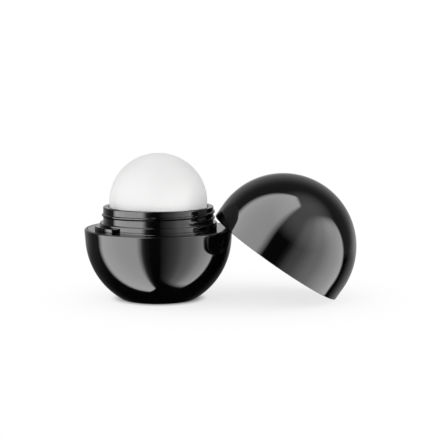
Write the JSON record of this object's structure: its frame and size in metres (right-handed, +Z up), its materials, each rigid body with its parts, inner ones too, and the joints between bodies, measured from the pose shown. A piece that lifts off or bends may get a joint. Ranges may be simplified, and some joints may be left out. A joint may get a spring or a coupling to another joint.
{
  "type": "lip balm ball",
  "caption": "Round lip balm pot with a threaded neck and a domed balm, its half-ball screw cap taken off and leaning on it.",
  "frame": {"origin": "centre of the pot's flat foot, on the surface that it stands on", "axes": "+Z up along the pot's own axis, +X towards the cap that leans on the pot, -Y towards the viewer"},
  "size_m": [0.078, 0.0424, 0.0418],
  "materials": {
    "gloss_black": "polished black, moulded",
    "insert_black": "glossy black, moulded",
    "liner_black": "black, semi-gloss, moulded",
    "plate_black": "black, satin, moulded",
    "balm_white": "white satin wax balm, slightly translucent"
  },
  "bodies": {
    "pot": {"base_bowl": "gloss_black", "neck_collar": "insert_black", "balm_plate": "plate_black", "balm": "balm_white"},
    "cap": {"cap_shell": "gloss_black", "cap_liner": "liner_black"}
  },
  "joints": [
    {"name": "cap_lift", "type": "slide", "parent": "pot", "child": "cap", "axis": [0.5677, 0, 0.8232], "range_m": [0, 0.0218]}
  ]
}
